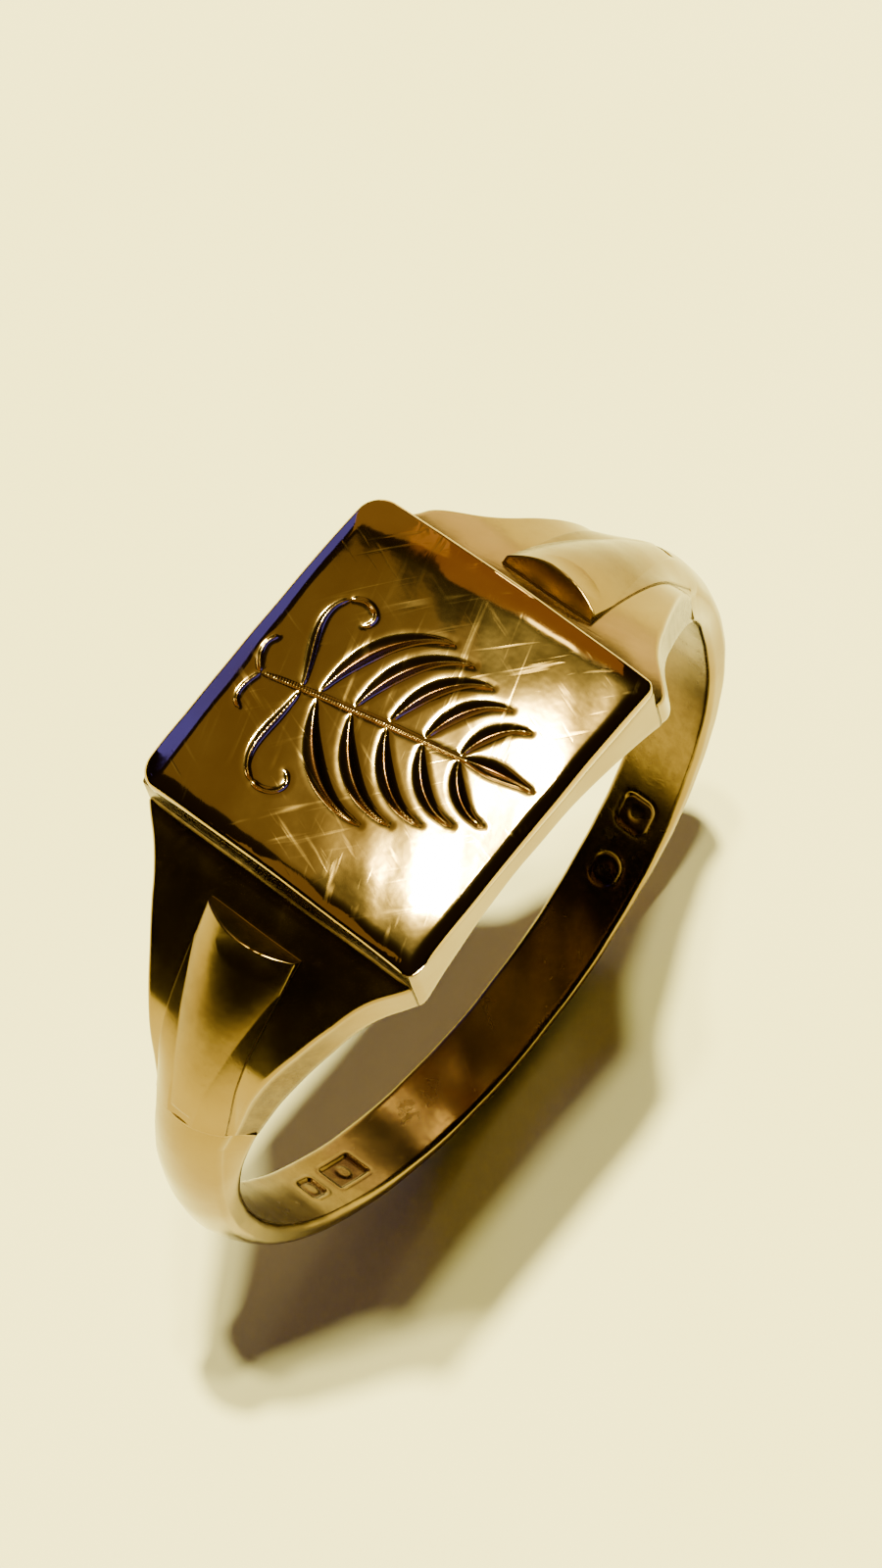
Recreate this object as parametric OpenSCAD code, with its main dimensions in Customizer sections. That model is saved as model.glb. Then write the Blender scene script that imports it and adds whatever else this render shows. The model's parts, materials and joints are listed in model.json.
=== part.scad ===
// Signet ring: a square, slightly domed signet plate on a bored collet, two flared
// shoulders with raised tongues, and a D-section shank, all joined with solder.
// Origin: centre of the finger hole. +Y runs along the finger, +Z is the signet face's normal.

/* [Finger hole] */
// Radius of the finger hole
bore_r = 9.1; // [8.4:0.05:10.2]

/* [Head] */
// Length of the signet plate, around the finger
plate_l = 8.84; // [7.6:0.02:9.6]
// Width of the signet plate, along the finger
plate_w = 8.32; // [7.4:0.02:9]
// Metal between the finger hole and the top of the collet
collet_t = 0.8; // [0.6:0.05:1.6]
// Thickness of the signet plate at its rim
plate_rim_t = 0.56; // [0.2:0.02:0.8]
// Height of the bevel around the face
bevel_h = 0.2; // [0.1:0.02:0.3]
// Width of the bevel around the face
bevel_w = 0.46; // [0.3:0.02:0.7]
// Rise of the domed face from its inner edge to its middle
dome_h = 0.18; // [0.08:0.02:0.3]
// Corner radius of the plate on the far side of the finger
far_corner_r = 0.6; // [0.3:0.05:0.9]
// Corner radius of the plate on the near side of the finger
near_corner_r = 0.25; // [0.15:0.05:0.6]
// How far the plate's rim stands out past the collet
rim_overhang = 0.06; // [0.02:0.02:0.12]

/* [Shoulders] */
// Thickness of the shoulder plates
shoulder_t = 1.05; // [0.8:0.05:1.2]
// Length of full width beside the head on the left
left_ledge = 0.02; // [0:0.02:0.4]
// Length of full width beside the head on the right
right_ledge = 0.5; // [0:0.02:0.7]
// Length over which the scalloped sides sweep in
scallop_l = 1.55; // [1.2:0.05:1.9]
// Narrowing of each side for each millimetre away from the head
side_taper = 0.56; // [0.45:0.01:0.65]
// Angle between the signet face and the joint with the shank
joint_angle = 64; // [58:1:70]

/* [Tongues] */
// Half-width of a tongue at its tip
tongue_tip_w = 1.32; // [1.1:0.02:1.5]
// Half-width of a tongue where it runs out into the shank
tongue_root_w = 1.08; // [0.9:0.02:1.2]
// Angle between the signet face and the lip of a tongue
lip_angle = 33; // [31:0.5:38]
// Height of the lip above the shoulder plate
lip_h = 0.72; // [0.4:0.02:0.9]
// Length of the sloping chisel cut at the tip
chisel_l = 0.6; // [0.4:0.05:0.8]

/* [Shank] */
// Half-width of the shank's D section
shank_w = 1.05; // [0.8:0.05:1.4]
// Thickness of the shank's edges at the sides of the finger
edge_t = 0.65; // [0.5:0.05:0.8]
// Metal worn off the back of the shank
back_wear = 0.3; // [0:0.05:0.4]

/* [Solder] */
// Thickness of the flat solder seams
seam = 0.05; // [0.03:0.01:0.1]

/* [Hidden] */
$fn = 96;

reach = 30;                                  // clears the whole ring in every direction
head_l = plate_l / 2 - rim_overhang;         // half-length of the collet
head_w = plate_w / 2 - rim_overhang;         // half-width of the collet
collet_z = bore_r + collet_t;                // top of the collet
plate_z = collet_z + seam;                   // underside of the plate
rim_z = plate_z + plate_rim_t;               // where the bevel starts
face_z = rim_z + bevel_h;                    // inner edge of the bevel
half_diagonal = norm([plate_l / 2 - bevel_w, plate_w / 2 - bevel_w]);
dome_r = (pow(half_diagonal, 2) + pow(dome_h, 2)) / (2 * dome_h);

shoulder_r = bore_r + shoulder_t;            // outer radius of the shoulder plates
wall_x = head_l + seam;                      // where a shoulder meets its solder
ledge_w = head_w;                            // half-width of a shoulder beside the head

lip_r = shoulder_r + lip_h;
lip = lip_r * [sin(lip_angle), cos(lip_angle)];
out_dir = [sin(joint_angle), cos(joint_angle)];
run_out_r = shoulder_r + back_wear * cos(joint_angle);
run_out = run_out_r * out_dir;
tongue_chord = lip - run_out;
// The tongue's back is an arc that runs out level with the shank at the joint.
tongue_arc_r = -(tongue_chord * tongue_chord) / (2 * (tongue_chord * out_dir));
tongue_arc_centre = run_out - tongue_arc_r * out_dir;
tongue_seat_r = shoulder_r + seam;

crown_h = shoulder_t - edge_t;               // height of the crown over the shank's edges
crown_r = (pow(shank_w, 2) + pow(crown_h, 2)) / (2 * crown_h);
seam_angle = seam / bore_r * 180 / PI;

// Half-width of the ring seen from above, beyond the scallops
function side_w(x) = shank_w + side_taper * max(bore_r - x, 0);
// Point at t on a curve that starts at a, heads for b and ends at c
function bend(a, b, c, t) = pow(1 - t, 2) * a + 2 * t * (1 - t) * b + t * t * c;

// Turns an outline drawn in X and Z into a body 2 * w wide along Y
module across_finger(w) {
    rotate([90, 0, 0])
        linear_extrude(height = 2 * w, center = true)
            children();
}

// A round bar along the finger
module finger_bar(r, w = reach) {
    across_finger(w)
        circle(r, $fn = 180);
}

module finger_hole() {
    finger_bar(bore_r);
}

// Everything on the +X side that is less than angle away from the face's normal
module within(angle) {
    across_finger(reach)
        polygon([[0, 0], [0, reach], [reach, reach], reach / cos(90 - angle) * [sin(angle), cos(angle)]]);
}

// Outline of one side of the ring seen from above, from the head outwards
module side_outline(ledge) {
    start = [wall_x + ledge, ledge_w];
    end = [start.x + scallop_l, side_w(start.x + scallop_l)];
    middle = [start.x + 0.35 * scallop_l, side_w(start.x + 0.35 * scallop_l) - 0.1];
    scallop = [for (t = [0:0.1:1]) bend(start, middle, end, t)];
    edge = concat([[0, ledge_w]], scallop, [[bore_r, shank_w], [reach, shank_w]]);
    mirrored = [for (i = [len(edge) - 1:-1:0]) [edge[i].x, -edge[i].y]];
    polygon(concat(edge, mirrored));
}

// What rounding takes off one corner of a square
module corner_waste(r) {
    difference() {
        square(r + 1);
        circle(r);
    }
}

// Rounded square of the signet plate seen from above
module plate_outline() {
    l = plate_l / 2;
    w = plate_w / 2;
    far = far_corner_r;
    near = near_corner_r;
    difference() {
        square([2 * l, 2 * w], center = true);
        translate([l - far, w - far])
            corner_waste(far);
        translate([far - l, w - far])
            rotate(90)
                corner_waste(far);
        translate([near - l, near - w])
            rotate(180)
                corner_waste(near);
        translate([l - near, near - w])
            rotate(270)
                corner_waste(near);
    }
}

// Wedge that bevels one edge of the plate, lying along X
module bevel_wedge(half_width) {
    translate([-reach, 0, 0])
        rotate([90, 0, 90])
            linear_extrude(height = 2 * reach)
                polygon([[half_width, rim_z], [half_width - bevel_w, face_z],
                         [half_width - bevel_w, reach], [half_width + 1, reach], [half_width + 1, rim_z]]);
}

// Body of revolution under the domed face
module face_dome() {
    rotate_extrude($fn = 180)
        intersection() {
            translate([0, face_z + dome_h - dome_r])
                circle(dome_r, $fn = 1440);
            translate([0, plate_z - 1])
                square([plate_l, 3]);
        }
}

module signet_plate() {
    color([0.80, 0.62, 0.33])
        difference() {
            intersection() {
                translate([0, 0, plate_z])
                    linear_extrude(height = 2)
                        plate_outline();
                face_dome();
            }
            for (turn = [0, 180])
                rotate([0, 0, turn]) {
                    bevel_wedge(plate_w / 2);
                    rotate([0, 0, 90])
                        bevel_wedge(plate_l / 2);
                }
        }
}

module plate_solder() {
    color([0.86, 0.76, 0.50])
        translate([-head_l, -head_w, collet_z])
            cube([2 * head_l, 2 * head_w, seam]);
}

module head_collet() {
    color([0.70, 0.52, 0.26])
        difference() {
            translate([-head_l, -head_w, 0])
                cube([2 * head_l, 2 * head_w, collet_z]);
            finger_hole();
        }
}

// Flat shoulder plate bent around the finger, on the +X side
module shoulder_blank(ledge) {
    intersection() {
        difference() {
            finger_bar(shoulder_r);
            finger_hole();
        }
        within(joint_angle - seam_angle);
        linear_extrude(height = reach)
            side_outline(ledge);
    }
}

module shoulder(ledge) {
    color([0.66, 0.47, 0.22])
        difference() {
            shoulder_blank(ledge);
            translate([0, -reach, 0])
                cube([wall_x, 2 * reach, reach]);
        }
}

// Solder between the collet's wall and a shoulder
module head_solder(ledge) {
    color([0.86, 0.76, 0.50])
        intersection() {
            shoulder_blank(ledge);
            translate([head_l, -reach, 0])
                cube([seam, 2 * reach, reach]);
        }
}

// Outline of a tongue seen from above
module tongue_outline() {
    tip_x = lip.x - chisel_l;
    end_x = run_out.x + seam;
    polygon([[tip_x, tongue_tip_w], [end_x, tongue_root_w], [end_x, -tongue_root_w], [tip_x, -tongue_tip_w]]);
}

// Side of a tongue: an arched back, with a chisel cut that slopes down to the shoulder
module tongue_profile(seat_r) {
    foot_x = lip.x - chisel_l;
    foot = [foot_x, sqrt(pow(seat_r, 2) - pow(foot_x, 2))];
    intersection() {
        difference() {
            translate(tongue_arc_centre)
                circle(tongue_arc_r, $fn = 360);
            circle(seat_r, $fn = 180);
        }
        polygon([foot, lip, lip + [0, reach], [reach, reach], [reach, 0], [0, 0]]);
        polygon([[0, 0], [0, reach], [reach, reach], reach * 2 * out_dir]);
    }
}

module tongue() {
    color([0.74, 0.56, 0.28])
        intersection() {
            across_finger(tongue_tip_w)
                tongue_profile(tongue_seat_r);
            linear_extrude(height = reach)
                tongue_outline();
        }
}

// Solder between a tongue and the shoulder plate
module tongue_solder() {
    color([0.86, 0.76, 0.50])
        intersection() {
            difference() {
                finger_bar(tongue_seat_r);
                finger_bar(shoulder_r);
            }
            across_finger(tongue_tip_w)
                tongue_profile(shoulder_r);
            linear_extrude(height = reach)
                tongue_outline();
        }
}

// Band of D section, worn thinner at the back
module d_band() {
    difference() {
        translate([0, 0, back_wear])
            rotate([90, 0, 0])
                rotate_extrude($fn = 180)
                    translate([shoulder_r - crown_r, 0])
                        circle(crown_r);
        finger_hole();
    }
}

// Solder between a shoulder and the shank
module shank_solder() {
    color([0.86, 0.76, 0.50])
        intersection() {
            d_band();
            difference() {
                within(joint_angle);
                within(joint_angle - seam_angle);
            }
            linear_extrude(height = reach)
                side_outline(0);
        }
}

// Straight-sided below the middle of the finger hole, tapering up to the joints above it
module shank_outline() {
    translate([0, 0, -reach])
        linear_extrude(height = reach)
            square([2 * reach, 2 * shank_w], center = true);
    for (side = [0, 1])
        mirror([side, 0, 0])
            linear_extrude(height = reach)
                side_outline(0);
}

module shank() {
    color([0.72, 0.54, 0.26])
        difference() {
            intersection() {
                d_band();
                shank_outline();
            }
            within(joint_angle);
            mirror([1, 0, 0])
                within(joint_angle);
        }
}

module left() {
    mirror([1, 0, 0])
        children();
}

signet_plate();
plate_solder();
head_collet();
left() head_solder(left_ledge);  // left_head_solder
head_solder(right_ledge);  // right_head_solder
left() shoulder(left_ledge);  // left_shoulder
shoulder(right_ledge);  // right_shoulder
left() tongue_solder();  // left_tongue_solder
tongue_solder();  // right_tongue_solder
left() tongue();  // left_tongue
tongue();  // right_tongue
left() shank_solder();  // left_shank_solder
shank_solder();  // right_shank_solder
shank();
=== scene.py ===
"""Dresses the signet ring: a domed, engraved table on a bored collet, scalloped shoulders with
raised tongues, a D-section shank and the solder that holds them together.

Lengths in the classes are millimetres. Angles are degrees away from the signet face's normal.
"""

import json
import logging
import math
from dataclasses import dataclass, field
from enum import Enum

import bmesh
import bpy
import numpy as np
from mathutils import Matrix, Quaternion, Vector


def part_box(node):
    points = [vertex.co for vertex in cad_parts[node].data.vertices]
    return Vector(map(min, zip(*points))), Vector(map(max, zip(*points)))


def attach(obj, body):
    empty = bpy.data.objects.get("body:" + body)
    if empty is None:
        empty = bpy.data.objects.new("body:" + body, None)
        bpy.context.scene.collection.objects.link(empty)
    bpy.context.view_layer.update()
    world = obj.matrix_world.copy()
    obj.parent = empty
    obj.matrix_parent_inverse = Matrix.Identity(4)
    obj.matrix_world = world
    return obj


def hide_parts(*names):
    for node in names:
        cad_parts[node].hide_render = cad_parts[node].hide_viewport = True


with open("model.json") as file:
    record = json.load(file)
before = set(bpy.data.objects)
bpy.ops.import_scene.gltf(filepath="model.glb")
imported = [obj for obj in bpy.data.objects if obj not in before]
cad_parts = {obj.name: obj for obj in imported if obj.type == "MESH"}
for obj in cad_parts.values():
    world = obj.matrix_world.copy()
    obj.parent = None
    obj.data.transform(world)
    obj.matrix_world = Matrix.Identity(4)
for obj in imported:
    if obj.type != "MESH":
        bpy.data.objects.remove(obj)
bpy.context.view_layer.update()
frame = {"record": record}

MM = 0.001
MICRON = 1e-6
BODY = "root"
CREST_RISE = 0.13  # the dome's crest lies past the edge, so its formula starts this much higher
BAND_LOW_ROUND = 0.19  # worn edges of the band, inside the finger hole
BAND_HIGH_ROUND = 0.12  # and outside
SHARP_ANGLE = 50.0  # edges that turn by more than this stay crisp
log = logging.getLogger("signet_ring")


# ---------------------------------------------------------------------------------------------
# Named options
# ---------------------------------------------------------------------------------------------


class Side(Enum):
    """Which way along X a shoulder points."""

    LEFT = -1
    RIGHT = 1

    @property
    def word(self) -> str:
        """The side's name as the nodes spell it."""
        return self.name.lower()


class Slot(Enum):
    """The record's material slots."""

    TABLE = "table_gold"
    RING = "ring_gold"
    SHANK = "shank_gold"
    SOLDER = "solder"


# ---------------------------------------------------------------------------------------------
# Small numeric helpers
# ---------------------------------------------------------------------------------------------


def smoothstep(low: float, high: float, value: np.ndarray) -> np.ndarray:
    """Eases from 0 at low to 1 at high.

    Args:
        low: Value at which the result leaves 0.
        high: Value at which the result reaches 1.
        value: Values to ease.

    Returns:
        The eased values, from 0 to 1.
    """
    t = np.clip((value - low) / (high - low), 0.0, 1.0)
    return t * t * (3.0 - 2.0 * t)


def soft_min(a: np.ndarray, b: np.ndarray, radius: float) -> np.ndarray:
    """The smaller of two surfaces, with the crease between them rounded.

    Args:
        a: First surface.
        b: Second surface.
        radius: Height over which the crease is rounded.

    Returns:
        The blended surface.
    """
    h = np.clip(0.5 + 0.5 * (b - a) / radius, 0.0, 1.0)
    return b + (a - b) * h - radius * h * (1.0 - h)


def hand_wobble(points: np.ndarray, height: float) -> np.ndarray:
    """Moves points a little, as files and years of wear leave a hand-made surface.

    Neighbouring pieces move together, because the shift depends only on where a point is.

    Args:
        points: Points in millimetres, one per row.
        height: Largest shift in millimetres.

    Returns:
        The moved points.
    """
    x, y, z = points.T
    shift = np.stack(
        [
            np.sin(1.9 * y + 1.3 * z + 0.4) + 0.5 * np.sin(4.3 * z - 2.2 * x),
            np.sin(2.1 * x - 1.1 * z + 1.7) + 0.5 * np.sin(3.7 * x + 3.1 * z + 0.9),
            np.sin(1.6 * x + 2.3 * y + 2.6) + 0.5 * np.sin(4.9 * y - 3.3 * x + 0.2),
        ],
        axis=1,
    )
    return points + shift * height / 1.5


# ---------------------------------------------------------------------------------------------
# Meshes
# ---------------------------------------------------------------------------------------------


@dataclass
class Skin:
    """Vertices and faces of one piece, in millimetres, with masks stored on its vertices."""

    points: np.ndarray
    faces: list[tuple[int, ...]]
    masks: dict[str, np.ndarray] = field(default_factory=dict)

    @staticmethod
    def tube(rings: np.ndarray) -> "Skin":
        """Joins rings of points into a closed skin, with a flat cap on each end.

        Args:
            rings: Points with shape (ring, point around the ring, 3).

        Returns:
            The closed skin.
        """
        count, around = rings.shape[:2]
        index = np.arange(count * around).reshape(count, around)
        here, there = index[:-1], index[1:]
        quads = np.stack(
            [here, np.roll(here, -1, 1), np.roll(there, -1, 1), there], axis=-1
        ).reshape(-1, 4)
        faces = [tuple(q) for q in quads.tolist()]
        faces.append(tuple(index[0, ::-1].tolist()))
        faces.append(tuple(index[-1].tolist()))
        return Skin(rings.reshape(-1, 3), faces)

    def finish(
        self, crevice: np.ndarray, edge: np.ndarray | None = None, wobble: float = 0.010
    ) -> "Skin":
        """Roughens the skin by hand and notes where it is darkened and where it is rubbed. The
        darkening stands for oxide in hollows and for painted shade in corners, creases and the
        finger hole.

        Args:
            crevice: How dark each point is made: oxide in hollows, and painted shade in corners,
                creases and the finger hole.
            edge: How much each point is rubbed. Nothing is, if it isn't given.
            wobble: Largest shift of a point in millimetres.

        Returns:
            The same skin.
        """
        self.points = hand_wobble(self.points, wobble)
        rubbed = np.zeros(crevice.size) if edge is None else edge.ravel()
        self.masks = {"crevice": crevice.ravel(), "edge": rubbed}
        return self

    def make(self, name: str) -> bpy.types.Object:
        """Turns the skin into a smooth-shaded object in the scene.

        Args:
            name: The piece's name.

        Returns:
            The new object, in metres.
        """
        mesh = bpy.data.meshes.new(name)
        mesh.from_pydata((self.points * MM).tolist(), [], self.faces)
        for mask, values in self.masks.items():
            layer = mesh.attributes.new(mask, "FLOAT", "POINT")
            layer.data.foreach_set("value", np.clip(values, 0.0, 1.0).astype(np.float32))
        shell = bmesh.new()
        shell.from_mesh(mesh)
        bmesh.ops.recalc_face_normals(shell, faces=shell.faces)
        shell.to_mesh(mesh)
        shell.free()
        mesh.shade_smooth()
        mesh.set_sharp_from_angle(angle=math.radians(SHARP_ANGLE))
        piece = bpy.data.objects.new(name, mesh)
        bpy.context.scene.collection.objects.link(piece)
        return piece


def section(
    low_w: np.ndarray,
    high_w: np.ndarray,
    low_r: np.ndarray,
    high_r: np.ndarray,
    low_round: float,
    high_round: float,
    across: int = 48,
) -> tuple[np.ndarray, np.ndarray]:
    """Closed outlines of a bar that lies on the finger hole, with rounded corners.

    Each outline runs up the near side, over the top, down the far side and back underneath.

    Args:
        low_w: Half-width underneath, one for each outline.
        high_w: Half-width at the top, one for each outline.
        low_r: Radius of the underside, one for each outline.
        high_r: Radius of the top's edges, one for each outline.
        low_round: Corner radius underneath.
        high_round: Corner radius at the top.
        across: Points across the top and across the underside.

    Returns:
        Two arrays with shape (outline, point): distance across, and radius.
    """
    low_w, high_w, low_r, high_r = (
        np.atleast_1d(np.asarray(v, float))[:, None] for v in (low_w, high_w, low_r, high_r)
    )
    turn = np.linspace(0.0, math.pi / 2, 9)
    wide = np.linspace(-1.0, 1.0, across)[1:-1]
    up = np.linspace(0.0, 1.0, 8)[1:-1]
    flat = 0.0 * low_w
    low_y = -low_w + low_round * (1 - np.sin(turn))
    low_z = low_r + low_round * (1 - np.cos(turn))
    side_y = -low_w + (low_w - high_w) * up
    side_z = low_r + low_round + (high_r - high_round - low_r - low_round) * up
    high_y = -high_w + high_round * (1 - np.cos(turn))
    high_z = high_r - high_round * (1 - np.sin(turn))
    near_y = np.concatenate([low_y, side_y, high_y], axis=1)
    near_z = np.concatenate([low_z + flat, side_z, high_z], axis=1)
    over_y = (high_w - high_round) * wide
    under_y = (low_w - low_round) * wide[::-1]
    y = np.concatenate([near_y, over_y, -near_y[:, ::-1], under_y], axis=1)
    r = np.concatenate(
        [near_z, high_r + 0 * over_y, near_z[:, ::-1], low_r + 0 * under_y], axis=1
    )
    return y, r


def on_hoop(
    y: np.ndarray, r: np.ndarray, angle: np.ndarray, side: Side = Side.RIGHT
) -> np.ndarray:
    """Places points around the finger hole.

    Args:
        y: Distance along the finger.
        r: Distance from the hole's axis.
        angle: Degrees away from the face's normal.
        side: The shoulder towards which the angle turns.

    Returns:
        Points with one more axis, for X, Y and Z.
    """
    a = np.radians(angle)
    x = side.value * r * np.sin(a)
    return np.stack(np.broadcast_arrays(x, y, r * np.cos(a)), axis=-1)


# ---------------------------------------------------------------------------------------------
# The ring's shape
# ---------------------------------------------------------------------------------------------


def node_box(name: str) -> tuple[Vector, Vector]:
    """Lowest and highest corners of a CAD node, in millimetres."""
    low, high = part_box(name)
    return low / MM, high / MM


@dataclass(frozen=True)
class RingShape:
    """The measures that the pieces share."""

    bore_r: float
    head_l: float
    head_w: float
    collet_z: float
    wall_x: float
    shoulder_r: float
    shank_w: float = 1.05
    joint_angle: float = 64.0
    side_taper: float = 0.56
    scallop_l: float = 1.55
    scallop_dip: float = 0.1
    left_ledge: float = 0.02
    right_ledge: float = 0.50
    far_ledge: float = 0.55
    left_turn: float = 0.50
    right_turn: float = 0.80
    crown_h: float = 0.40
    back_wear: float = 0.30
    seam: float = 0.05

    @staticmethod
    def from_frame() -> "RingShape":
        """Reads the shared measures from the CAD frame."""
        bore = frame["record"]["mounts"][0]["dims"]["r_mm"]
        collet = node_box("head_collet")
        shoulder = node_box("right_shoulder")
        return RingShape(
            bore_r=bore,
            head_l=collet[1].x,
            head_w=collet[1].y,
            collet_z=collet[1].z,
            wall_x=shoulder[0].x,
            shoulder_r=math.hypot(shoulder[0].x, shoulder[1].z),
        )

    def ledge(self, side: Side) -> float:
        """Length of full width beside the head."""
        return self.left_ledge if side is Side.LEFT else self.right_ledge

    def taper_w(self, x: np.ndarray) -> np.ndarray:
        """Half-width of the straight taper towards the shank."""
        return self.shank_w + self.side_taper * np.maximum(self.bore_r - x, 0.0)

    def side_w(self, x: np.ndarray, side: Side, far: bool = False) -> np.ndarray:
        """Half-width of the shoulder, seen from above.

        Args:
            x: Distance from the middle of the head.
            side: Which shoulder.
            far: Whether this is the edge on the far side of the finger.

        Returns:
            Half-widths at x.
        """
        t = np.linspace(0.0, 1.0, 60)
        start = self.wall_x + self.ledge(side)
        if far and side is Side.RIGHT:
            start += self.far_ledge
        end = start + self.scallop_l
        bend = start + 0.35 * self.scallop_l
        bend_w = self.taper_w(bend) - self.scallop_dip
        first, middle, last = (1 - t) ** 2, 2 * t * (1 - t), t**2
        curve_x = first * start + middle * bend + last * end
        curve_w = first * self.head_w + middle * bend_w + last * self.taper_w(end)
        lead_in = (self.head_w - bend_w) / (bend - start)
        before = self.head_w + lead_in * (start - x)
        scallop = np.where(x < start, before, np.interp(x, curve_x, curve_w))
        turn = self.left_turn if side is Side.LEFT else self.right_turn
        rounded = soft_min(scallop, self.head_w + 0 * x, turn)
        return np.where(x > end, self.taper_w(x), rounded)

    def crown_r(self, angle: np.ndarray) -> np.ndarray:
        """Radius of the shank's crown, which is worn thinner at the back."""
        return self.shoulder_r + self.back_wear * np.cos(np.radians(angle))

    def shank_top(self, angle: np.ndarray, y: np.ndarray) -> np.ndarray:
        """Radius of the shank's crowned outer surface."""
        share = np.clip(np.abs(y) / self.shank_w, 0.0, 1.15)
        return self.crown_r(angle) - self.crown_h * share**2

    def shoulder_top(self, angle: np.ndarray, y: np.ndarray) -> np.ndarray:
        """Radius of the shoulder plate's outer surface, easing into the shank's crown."""
        ease = smoothstep(48.0, self.joint_angle, angle)
        rise = self.shank_top(angle, y) - 0.03 - self.shoulder_r
        return self.shoulder_r + ease * np.minimum(rise, 0.05)


# ---------------------------------------------------------------------------------------------
# Shader node groups
# ---------------------------------------------------------------------------------------------

Socket = bpy.types.NodeSocket
Tree = bpy.types.NodeTree


class NodeSheet:
    """Adds and links nodes in one tree."""

    def __init__(self, tree: Tree) -> None:
        """Keeps the tree that nodes are added to."""
        self.tree = tree

    def add(
        self, kind: str, inputs: dict[str | int, object] | None = None, **settings: object
    ) -> bpy.types.Node:
        """Adds a node.

        Args:
            kind: The node's type name.
            inputs: Values or sockets for its inputs, by name or number.
            **settings: The node's own properties.

        Returns:
            The new node.
        """
        node = self.tree.nodes.new(kind)
        for key, value in settings.items():
            setattr(node, key, value)
        for key, value in (inputs or {}).items():
            self.feed(node.inputs[key], value)
        return node

    def feed(self, target: Socket, value: object) -> None:
        """Links a socket to an input, or sets the input to a plain value."""
        if isinstance(value, bpy.types.NodeSocket):
            self.tree.links.new(value, target)
        else:
            target.default_value = value

    def noise(
        self, place: Socket, scale: object, detail: float, roughness: float = 0.5, bend: float = 0.0
    ) -> Socket:
        """Adds a Noise Texture node and returns its value.

        Args:
            place: Where the noise is read.
            scale: How many features there are to the metre.
            detail: How many finer layers are added.
            roughness: How strong the finer layers are.
            bend: How far the noise is distorted by itself.

        Returns:
            The noise value, around 0.5.
        """
        inputs = {"Vector": place, "Scale": scale, "Detail": detail, "Roughness": roughness}
        inputs["Distortion"] = bend
        return self.add("ShaderNodeTexNoise", inputs).outputs[0]

    def maths(self, operation: str, a: object, b: object = 0.0, clamp: bool = False) -> Socket:
        """Adds a Math node and returns its result."""
        node = self.add("ShaderNodeMath", {0: a, 1: b}, operation=operation, use_clamp=clamp)
        return node.outputs[0]

    def ramp(self, value: Socket, low: float, high: float) -> Socket:
        """Stretches a value so that low becomes 0 and high becomes 1, clamped."""
        node = self.add("ShaderNodeMapRange", {0: value, 1: low, 2: high}, clamp=True)
        return node.outputs[0]

    def mix(self, mask: object, a: object, b: object) -> Socket:
        """Mixes two colours by a mask and returns the result."""
        node = self.add("ShaderNodeMix", data_type="RGBA")
        for key, value in ((0, mask), (6, a), (7, b)):
            self.feed(node.inputs[key], value)
        return node.outputs[2]


def new_group(
    name: str, inputs: dict[str, tuple[str, object]], outputs: dict[str, str]
) -> tuple[Tree, NodeSheet]:
    """Starts a shader node group with named sockets.

    Args:
        name: The group's name.
        inputs: For each input, its socket type and default value.
        outputs: For each output, its socket type.

    Returns:
        The group and a sheet for adding nodes to it.
    """
    tree = bpy.data.node_groups.new(name, "ShaderNodeTree")
    for label, (kind, default) in inputs.items():
        socket = tree.interface.new_socket(label, in_out="INPUT", socket_type=kind)
        if default is not None:
            socket.default_value = default
    for label, kind in outputs.items():
        tree.interface.new_socket(label, in_out="OUTPUT", socket_type=kind)
    return tree, NodeSheet(tree)


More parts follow.
